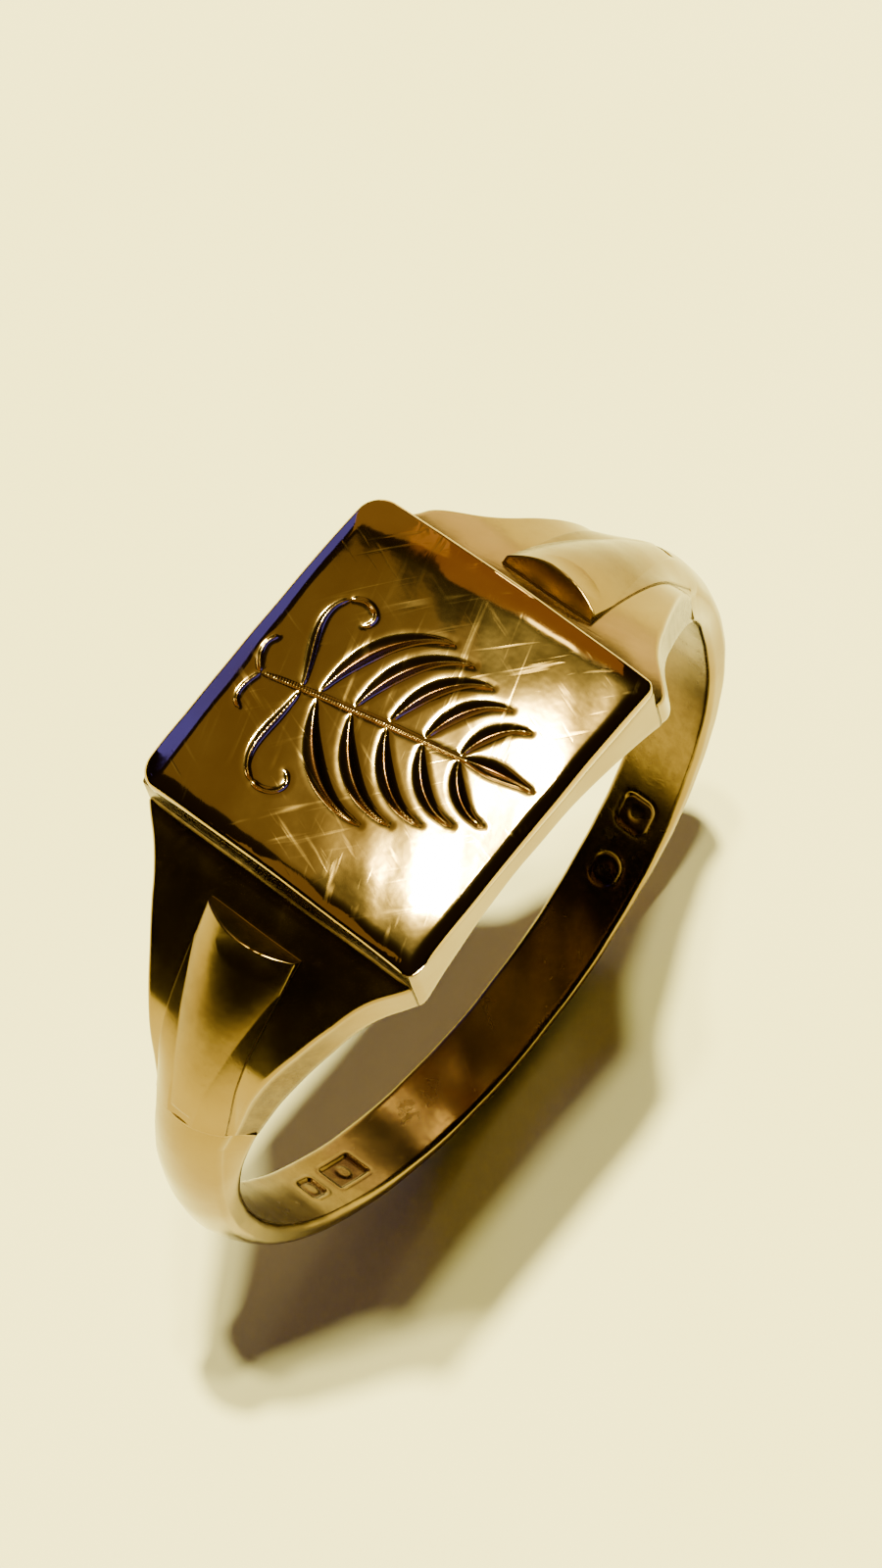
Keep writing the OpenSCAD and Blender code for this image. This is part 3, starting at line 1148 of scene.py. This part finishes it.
@dataclass
class Tongue:
    """A raised, crowned bar on a shoulder, with a chisel cut facing the head."""

    shape: RingShape
    side: Side
    tip_w: float = 1.32
    root_w: float = 1.08
    lip_angle: float = 33.0
    lip_h: float = 0.58
    chisel_l: float = 0.54
    crown: float = 0.42
    scoop_r: float = 10.7
    scoop_depth: float = 0.02
    scoop_at: tuple[float, float] = (0.30, -0.25)
    scoop_half: tuple[float, float] = (0.36, 0.85)
    # How dark the band across the tongue's middle is made: painted reflection of a dark room.
    painted_dark_reflection: float = 0.45
    steps: int = 190

    def __post_init__(self) -> None:
        """Works out the arc of the tongue's back."""
        s = self.shape
        joint = math.radians(s.joint_angle)
        out = np.array([math.sin(joint), math.cos(joint)])
        self.lip = (s.shoulder_r + self.lip_h) * np.array(
            [math.sin(math.radians(self.lip_angle)), math.cos(math.radians(self.lip_angle))]
        )
        run_out = float(s.crown_r(np.array(s.joint_angle))) * out
        chord = self.lip - run_out
        self.arc_r = -float(chord @ chord) / (2 * float(chord @ out))
        self.arc_centre = run_out - self.arc_r * out
        self.foot_x = float(self.lip[0]) - self.chisel_l

    def _back_r(self, angle: np.ndarray) -> np.ndarray:
        """Radius of the tongue's back along its middle."""
        a = np.radians(angle)
        along = self.arc_centre[0] * np.sin(a) + self.arc_centre[1] * np.cos(a)
        return along + np.sqrt(self.arc_r**2 - (self.arc_centre @ self.arc_centre) + along**2)

    def half_w(self, angle: np.ndarray) -> np.ndarray:
        """Half-width of the tongue along its length."""
        span = (angle - self.lip_angle) / (self.shape.joint_angle - self.lip_angle)
        return self.tip_w + (self.root_w - self.tip_w) * np.clip(span, -0.1, 1.0)

    def _scoop(self, angle: np.ndarray, y: np.ndarray) -> np.ndarray:
        """Depth of the shallow thumbnail cut just behind the lip."""
        behind = np.radians(angle - self.lip_angle) * self.scoop_r
        along = (behind - self.scoop_at[0]) / self.scoop_half[0]
        across = (y - self.scoop_at[1]) / self.scoop_half[1]
        return self.scoop_depth * np.clip(1 - along**2 - across**2, 0, 1)

    def _top_r(self, angle: np.ndarray, y: np.ndarray) -> np.ndarray:
        """Radius of the tongue's skin: a crowned back, and the chisel cut at its tip."""
        s = self.shape
        share = y / self.half_w(angle)
        back = self._back_r(angle) - self.crown * share**2 - self._scoop(angle, y)
        ease = smoothstep(46.0, s.joint_angle - 1.0, angle)
        back = back + (s.shank_top(angle, y) - back) * ease
        foot_z = math.sqrt((s.shoulder_r + s.seam) ** 2 - self.foot_x**2)
        slope = (self.lip[1] - foot_z) / self.chisel_l
        a = np.radians(angle)
        cut = (foot_z - slope * self.foot_x) / (np.cos(a) - slope * np.sin(a))
        return soft_min(back, cut, 0.03)

    def build(self, wardrobe: Wardrobe) -> bpy.types.Object:
        """Makes and dresses the tongue."""
        s = self.shape
        start = math.degrees(math.asin(self.foot_x / (s.shoulder_r + s.seam)))
        angle = start + (s.joint_angle - 0.3 - start) * np.linspace(0.0, 1.0, self.steps) ** 1.25
        half = self.half_w(angle)
        ones = np.ones(self.steps)
        y, r = section(half, half, 0 * ones, ones, 0.02, 0.10, across=90)
        spread = np.broadcast_to(angle[:, None], y.shape)
        seat = s.shoulder_top(spread, y) + s.seam
        top = np.maximum(self._top_r(spread, y), seat + 0.004)
        body = seat - 0.05 + (top - seat + 0.05) * r
        points = on_hoop(y, body, spread, self.side)
        # Darker at the foot of the sides: painted shade. A dark band across the middle stands for
        # the dark room that the tongue reflects: painted reflection.
        at_side = smoothstep(-0.06, 0.0, np.abs(y) - half[:, None])
        at_foot = 1 - smoothstep(0.0, 0.15, body - seat)
        low = at_side * at_foot * smoothstep(0.05, 0.2, top - seat)
        middle = (spread - self.lip_angle) / (s.joint_angle - self.lip_angle) - 0.42
        dull = np.exp(-((middle / 0.26) ** 2))
        skin = Skin.tube(points).finish(np.maximum(0.6 * low, self.painted_dark_reflection * dull))
        name = f"{self.side.word}_raised_tongue"
        return wardrobe.dress(skin.make(name), Slot.RING, f"{self.side.word}_tongue")


@dataclass(frozen=True)
class Punch:
    """A blank cartouche struck inside the shank."""

    angle: float
    y: float
    half_l: float
    half_w: float
    corner: float
    side: Side
    strike: float = 0.055
    boss_h: float = 0.030
    boss_r: float = 0.14
    ridge_h: float = 0.014
    ridge_w: float = 0.05

    def depth(self, angle: np.ndarray, y: np.ndarray, bore_r: float) -> np.ndarray:
        """Depth of the strike, with a boss in its middle and a low ridge pushed up around it.

        Args:
            angle: Degrees away from the face's normal, on the punch's own side.
            y: Distance along the finger.
            bore_r: Radius of the finger hole.

        Returns:
            Depths in millimetres, negative on the ridge.
        """
        along = np.radians(angle - self.angle) * bore_r
        across = y - self.y
        qx = np.abs(along) - self.half_l + self.corner
        qy = np.abs(across) - self.half_w + self.corner
        outside = np.hypot(np.maximum(qx, 0), np.maximum(qy, 0))
        gap = outside + np.minimum(np.maximum(qx, qy), 0) - self.corner
        floor = self.strike * (1 - smoothstep(-0.10, 0.0, gap))
        from_boss = np.hypot(along * 1.1, across) - self.boss_r
        boss = self.boss_h * (1 - smoothstep(0.0, 0.16, from_boss))
        ridge = self.ridge_h * np.exp(-(((gap - self.ridge_w) / self.ridge_w) ** 2))
        return floor - boss - ridge


@dataclass
class Shank:
    """The D-section band around the back of the finger."""

    shape: RingShape
    steps: int = 760
    punches: tuple[Punch, ...] = (
        Punch(135.0, 0.0, 0.52, 0.50, 0.30, Side.RIGHT),
        Punch(146.5, 0.05, 0.50, 0.46, 0.44, Side.RIGHT),
        Punch(140.0, 0.0, 0.62, 0.42, 0.10, Side.LEFT),
        Punch(131.0, 0.02, 0.34, 0.36, 0.16, Side.LEFT),
    )

    def half_w(self, angle: np.ndarray, r: np.ndarray) -> np.ndarray:
        """Half-width of the band at an angle and a radius."""
        a = np.radians(angle)
        tapered = self.shape.taper_w(r * np.abs(np.sin(a)))
        return np.where(np.cos(a) > 0, tapered, self.shape.shank_w)

    def outline(self, angle: np.ndarray) -> tuple[np.ndarray, np.ndarray]:
        """Closed outlines of the band.

        Args:
            angle: Degrees away from the face's normal, one for each outline.

        Returns:
            Two arrays with shape (outline, point): distance across, and radius.
        """
        s = self.shape
        bore = np.full(len(angle), s.bore_r)
        low_w = self.half_w(angle, bore)
        high_w = self.half_w(angle, s.crown_r(angle) - s.crown_h)
        edge = s.shank_top(angle, high_w)
        y, r = section(low_w, high_w, bore, edge, BAND_LOW_ROUND, BAND_HIGH_ROUND, across=64)
        lift = np.clip((r - s.bore_r) / (edge[:, None] - s.bore_r), 0, 1)
        bulge = np.maximum(s.shank_top(angle[:, None], y) - edge[:, None], 0.0)
        return y, r + bulge * smoothstep(0.8, 1.0, lift)

    def build(self, wardrobe: Wardrobe) -> bpy.types.Object:
        """Makes and dresses the shank."""
        s = self.shape
        angle = np.linspace(s.joint_angle, 360.0 - s.joint_angle, self.steps)
        y, r = self.outline(angle)
        spread = np.broadcast_to(angle[:, None], y.shape)
        under = r < s.bore_r + 0.03
        struck = np.zeros(y.shape)
        for punch in self.punches:
            turned = spread if punch.side is Side.RIGHT else 360.0 - spread
            struck += punch.depth(turned, y, s.bore_r)
        r = r + np.where(r < s.bore_r + 0.001, struck, 0.0)
        # The finger hole is darkened: painted shade. The struck punches are darker still, as oxide
        # in their hollows.
        crevice = np.where(under, 0.55 + 0.45 * smoothstep(0.01, 0.05, struck), 0.0)
        skin = Skin.tube(on_hoop(y, r, spread)).finish(crevice)
        return wardrobe.dress(skin.make("d_section_shank"), Slot.SHANK, "shank")


@dataclass
class SolderSeams:
    """The solder that shows as fine lines and fillets between the pieces."""

    shape: RingShape
    shank: Shank
    edge_round: float = 0.12

    def _plate_seam(self) -> Skin:
        """A bead around the top of the collet."""
        s = self.shape
        turn = np.linspace(0.0, math.pi / 2, 24)
        corner = 0.30
        rings = []
        for share in np.linspace(0.0, 1.0, 7):
            r = corner + 0.02 * math.sin(math.pi * share) - 0.012
            height = np.full(turn.shape, s.collet_z - 0.01 + (s.seam + 0.02) * share)
            loop = []
            for quarter, (sx, sy) in enumerate(((1, 1), (-1, 1), (-1, -1), (1, -1))):
                way = turn + quarter * math.pi / 2
                x = sx * (s.head_l - corner) + r * np.cos(way)
                y = sy * (s.head_w - corner) + r * np.sin(way)
                loop.append(np.stack([x, y, height], axis=1))
            rings.append(np.concatenate(loop))
        return Skin.tube(np.array(rings))

    def _wall_fillet(self, side: Side) -> Skin:
        """A hollow fillet between the collet's wall and a shoulder."""
        s = self.shape
        reach = 0.16
        turn = np.linspace(0.0, math.pi / 2, 14)
        top = math.sqrt(s.shoulder_r**2 - s.wall_x**2)
        low = math.sqrt(s.bore_r**2 - s.head_l**2)
        gap = s.wall_x - s.head_l
        half = float(s.side_w(np.array(s.wall_x), side)) - 0.01
        rings = []
        for across in half * np.sin(np.linspace(-math.pi / 2, math.pi / 2, 160)):
            inside = half - abs(across)
            spread = gap + (reach - gap) * min(inside / 0.3, 1.0)
            rounding = 1 - min(inside / self.edge_round, 1.0)
            over = self.edge_round * (1 - math.sqrt(1 - rounding**2))
            hollow_x = s.head_l + spread * (1 - np.sin(turn))
            rise = (0.9 * spread - 0.03) * (1 - np.cos(turn))
            hollow_z = top - over + rise - 0.5 * (hollow_x - s.head_l)
            under = low + 0.7 * over
            x = np.concatenate([[s.head_l, s.wall_x, s.wall_x], hollow_x, [s.head_l - 0.02]])
            z = np.concatenate([[under, under, top - over - 0.1], hollow_z, [top - over]])
            rings.append(np.stack([side.value * x, np.full(x.shape, across), z], axis=-1))
        return Skin.tube(np.array(rings))

    def _tongue_bed(self, tongue: Tongue) -> Skin:
        """A thin bed that shows as a line around a tongue's foot."""
        s = self.shape
        start = math.degrees(math.asin((tongue.foot_x - 0.03) / s.shoulder_r))
        angle = np.linspace(start, s.joint_angle - 0.3, 160)
        half = tongue.half_w(angle) + 0.02
        ones = np.ones(len(angle))
        y, r = section(half, half, 0 * ones, ones, 0.01, 0.02, across=60)
        spread = np.broadcast_to(angle[:, None], y.shape)
        seat = s.shoulder_top(spread, y)
        return Skin.tube(on_hoop(y, seat - 0.03 + 0.05 * r, spread, tongue.side))

    def _band_seam(self, side: Side) -> Skin:
        """A slice of solder between a shoulder and the shank."""
        s = self.shape
        angle = np.linspace(s.joint_angle - 0.36, s.joint_angle + 0.04, 6)
        y, r = self.shank.outline(angle)
        spread = np.broadcast_to(angle[:, None], y.shape)
        sunk = r - 0.001 * np.sign(r - s.bore_r - 0.4)
        return Skin.tube(on_hoop(y * 0.9995, sunk, spread, side))

    def build(self, wardrobe: Wardrobe, tongues: list[Tongue]) -> list[bpy.types.Object]:
        """Makes and dresses every seam."""
        dark, clean = 0.9, 0.1
        seams = [("plate_seam", "plate_solder", self._plate_seam(), dark)]
        for side in Side:
            word = side.word
            fillet, slice_ = self._wall_fillet(side), self._band_seam(side)
            seams.append((f"{word}_wall_fillet", f"{word}_head_solder", fillet, dark))
            seams.append((f"{word}_band_seam", f"{word}_shank_solder", slice_, clean))
        for tongue in tongues:
            word = tongue.side.word
            bed = self._tongue_bed(tongue)
            seams.append((f"{word}_tongue_bed", f"{word}_tongue_solder", bed, dark))
        made = []
        for name, node, skin, grime in seams:
            skin.finish(np.full(len(skin.points), grime))
            made.append(wardrobe.dress(skin.make(name), Slot.SOLDER, node))
        return made


# ---------------------------------------------------------------------------------------------
# The studio
# ---------------------------------------------------------------------------------------------


@dataclass(frozen=True)
class Softbox:
    """An area light that points at the ring."""

    name: str
    direction: tuple[float, float, float]
    distance: float
    wide: float
    high: float
    radiance: float
    colour: tuple[float, float, float]
    round: bool = False

    def place(self) -> bpy.types.Object:
        """Hangs the light.

        Returns:
            The light's object.
        """
        lamp = bpy.data.lights.new(self.name, "AREA")
        lamp.shape = "ELLIPSE" if self.round else "RECTANGLE"
        lamp.size = 2 * self.distance * math.tan(math.radians(self.wide / 2))
        lamp.size_y = 2 * self.distance * math.tan(math.radians(self.high / 2))
        area = lamp.size * lamp.size_y * (math.pi / 4 if self.round else 1)
        lamp.energy = 4 * self.radiance * area
        lamp.color = self.colour
        holder = bpy.data.objects.new(self.name, lamp)
        way = Vector(self.direction).normalized()
        holder.location = way * self.distance
        holder.rotation_mode = "QUATERNION"
        holder.rotation_quaternion = way.to_track_quat("Z", "Y")
        bpy.context.scene.collection.objects.link(holder)
        return holder


def ceiling_spot(name: str, lean: tuple[float, float], strength: float) -> Softbox:
    """A small warm ceiling light, leaning from straight overhead by the given slopes."""
    return Softbox(name, (*lean, 1.0), 1.6, 2.7, 2.7, strength, (1.0, 0.89, 0.44), round=True)


@dataclass
class Studio:
    """Pale floor, soft lights and the camera."""

    floor_z: float
    floor_half: float = 0.9
    camera_place: tuple[float, float, float] = (-24.373, -37.015, 100.717)
    camera_target: tuple[float, float, float] = (2.3217, 2.2577, 0.0)
    camera_roll: float = -17.82
    camera_lens: float = 101.39
    boxes: tuple[Softbox, ...] = (
        ceiling_spot("first_spot", (0.190, 0.036), 4900.0),
        ceiling_spot("second_spot", (0.086, 0.034), 1450.0),
        ceiling_spot("third_spot", (0.160, -0.060), 1000.0),
        Softbox("side_glow", (0.93, 0.36, 0.11), 0.8, 42.0, 11.0, 3.2, (1.0, 0.80, 0.40)),
        Softbox("wood_glow", (0.67, 0.28, 0.69), 0.8, 22.0, 30.0, 0.42, (1.0, 0.45, 0.18)),
        Softbox("corner_glow", (0.58, 0.66, 0.48), 0.8, 27.0, 27.0, 0.38, (1.0, 0.60, 0.24)),
        Softbox("side_lamp", (0.76, 0.31, 0.57), 0.8, 4.0, 3.2, 34.0, (1.0, 0.85, 0.45)),
        Softbox("streak_lamp", (0.49, 0.17, 0.855), 0.8, 5.0, 3.0, 13.0, (1.0, 0.85, 0.45)),
        Softbox("ceiling_glow", (0.08, 0.40, 0.91), 0.8, 26.0, 30.0, 0.27, (1.0, 0.66, 0.24)),
        Softbox("left_glow", (-0.41, 0.20, 0.89), 0.8, 18.0, 18.0, 0.32, (1.0, 0.62, 0.25)),
        Softbox("window_glow", (0.22, 0.88, 0.42), 0.8, 24.0, 16.0, 2.0, (0.08, 0.08, 1.0)),
    )
    card: tuple[float, float, float] = (0.83, 0.82, 0.46)
    pale_card: tuple[float, float, float] = (0.86, 0.85, 0.50)
    zenith: tuple[float, float, float] = (0.030, 0.018, 0.006)
    horizon: tuple[float, float, float] = (0.012, 0.006, 0.002)

    def _floor_material(self) -> bpy.types.Material:
        """Warm off-white card with a faint mottle."""
        made = bpy.data.materials.new("pale_floor")
        made.use_nodes = True
        made.node_tree.nodes.clear()
        sheet = NodeSheet(made.node_tree)
        place = sheet.add("ShaderNodeTexCoord").outputs["Object"]
        mottle = sheet.ramp(sheet.noise(place, 60.0, 6.0), 0.35, 0.65)
        colour = sheet.mix(mottle, (*self.card, 1.0), (*self.pale_card, 1.0))
        shader = sheet.add("ShaderNodeBsdfPrincipled", {"Base Color": colour, "Roughness": 0.7})
        sheet.add("ShaderNodeOutputMaterial", {"Surface": shader.outputs[0]})
        return made

    def build(self) -> None:
        """Sets the floor, the lights, the surroundings and the camera."""
        half = self.floor_half
        corners = [(-half, -half), (half, -half), (half, half), (-half, half)]
        mesh = bpy.data.meshes.new("studio_floor")
        mesh.from_pydata([(x, y, self.floor_z * MM) for x, y in corners], [], [(0, 1, 2, 3)])
        mesh.materials.append(self._floor_material())
        floor = bpy.data.objects.new("studio_floor", mesh)
        bpy.context.scene.collection.objects.link(floor)
        for box in self.boxes:
            box.place()
        self._air()
        self._camera()

    def _air(self) -> None:
        """Surrounds the ring with a dim room that is lighter overhead."""
        world = bpy.data.worlds.new("studio_air")
        world.use_nodes = True
        world.node_tree.nodes.clear()
        sheet = NodeSheet(world.node_tree)
        way = sheet.add("ShaderNodeTexCoord").outputs["Generated"]
        height = sheet.add("ShaderNodeSeparateXYZ", {0: way}).outputs[2]
        share = sheet.ramp(height, 0.35, 0.95)
        colour = sheet.mix(share, (*self.horizon, 1.0), (*self.zenith, 1.0))
        glow = sheet.add("ShaderNodeBackground", {"Color": colour, "Strength": 1.0})
        sheet.add("ShaderNodeOutputWorld", {"Surface": glow.outputs[0]})
        bpy.context.scene.world = world

    def _camera(self) -> None:
        """Places the camera."""
        lens = bpy.data.cameras.new("studio_camera")
        lens.lens = self.camera_lens
        lens.sensor_width = 36.0
        lens.clip_start = 0.005
        lens.clip_end = 20.0
        camera = bpy.data.objects.new("studio_camera", lens)
        place = Vector(self.camera_place) * MM
        aim = Vector(self.camera_target) * MM - place
        roll = Quaternion((0.0, 0.0, 1.0), math.radians(self.camera_roll))
        camera.location = place
        camera.rotation_mode = "QUATERNION"
        camera.rotation_quaternion = aim.to_track_quat("-Z", "Y") @ roll
        bpy.context.scene.collection.objects.link(camera)
        bpy.context.scene.camera = camera


def main() -> None:
    """Builds every piece of the ring and the studio around it."""
    logging.basicConfig(level=logging.INFO, format="%(name)s: %(message)s")
    shape = RingShape.from_frame()
    wardrobe = Wardrobe()
    SignetPlate.from_frame().build(wardrobe)
    HeadCollet(shape).build(wardrobe)
    tongues = [Tongue(shape, side) for side in Side]
    for side in Side:
        Shoulder(shape, side).build(wardrobe)
    for tongue in tongues:
        tongue.build(wardrobe)
    shank = Shank(shape)
    shank.build(wardrobe)
    SolderSeams(shape, shank).build(wardrobe, tongues)
    Studio(floor_z=node_box("shank")[0].z).build()


if __name__ == "__main__":
    main()
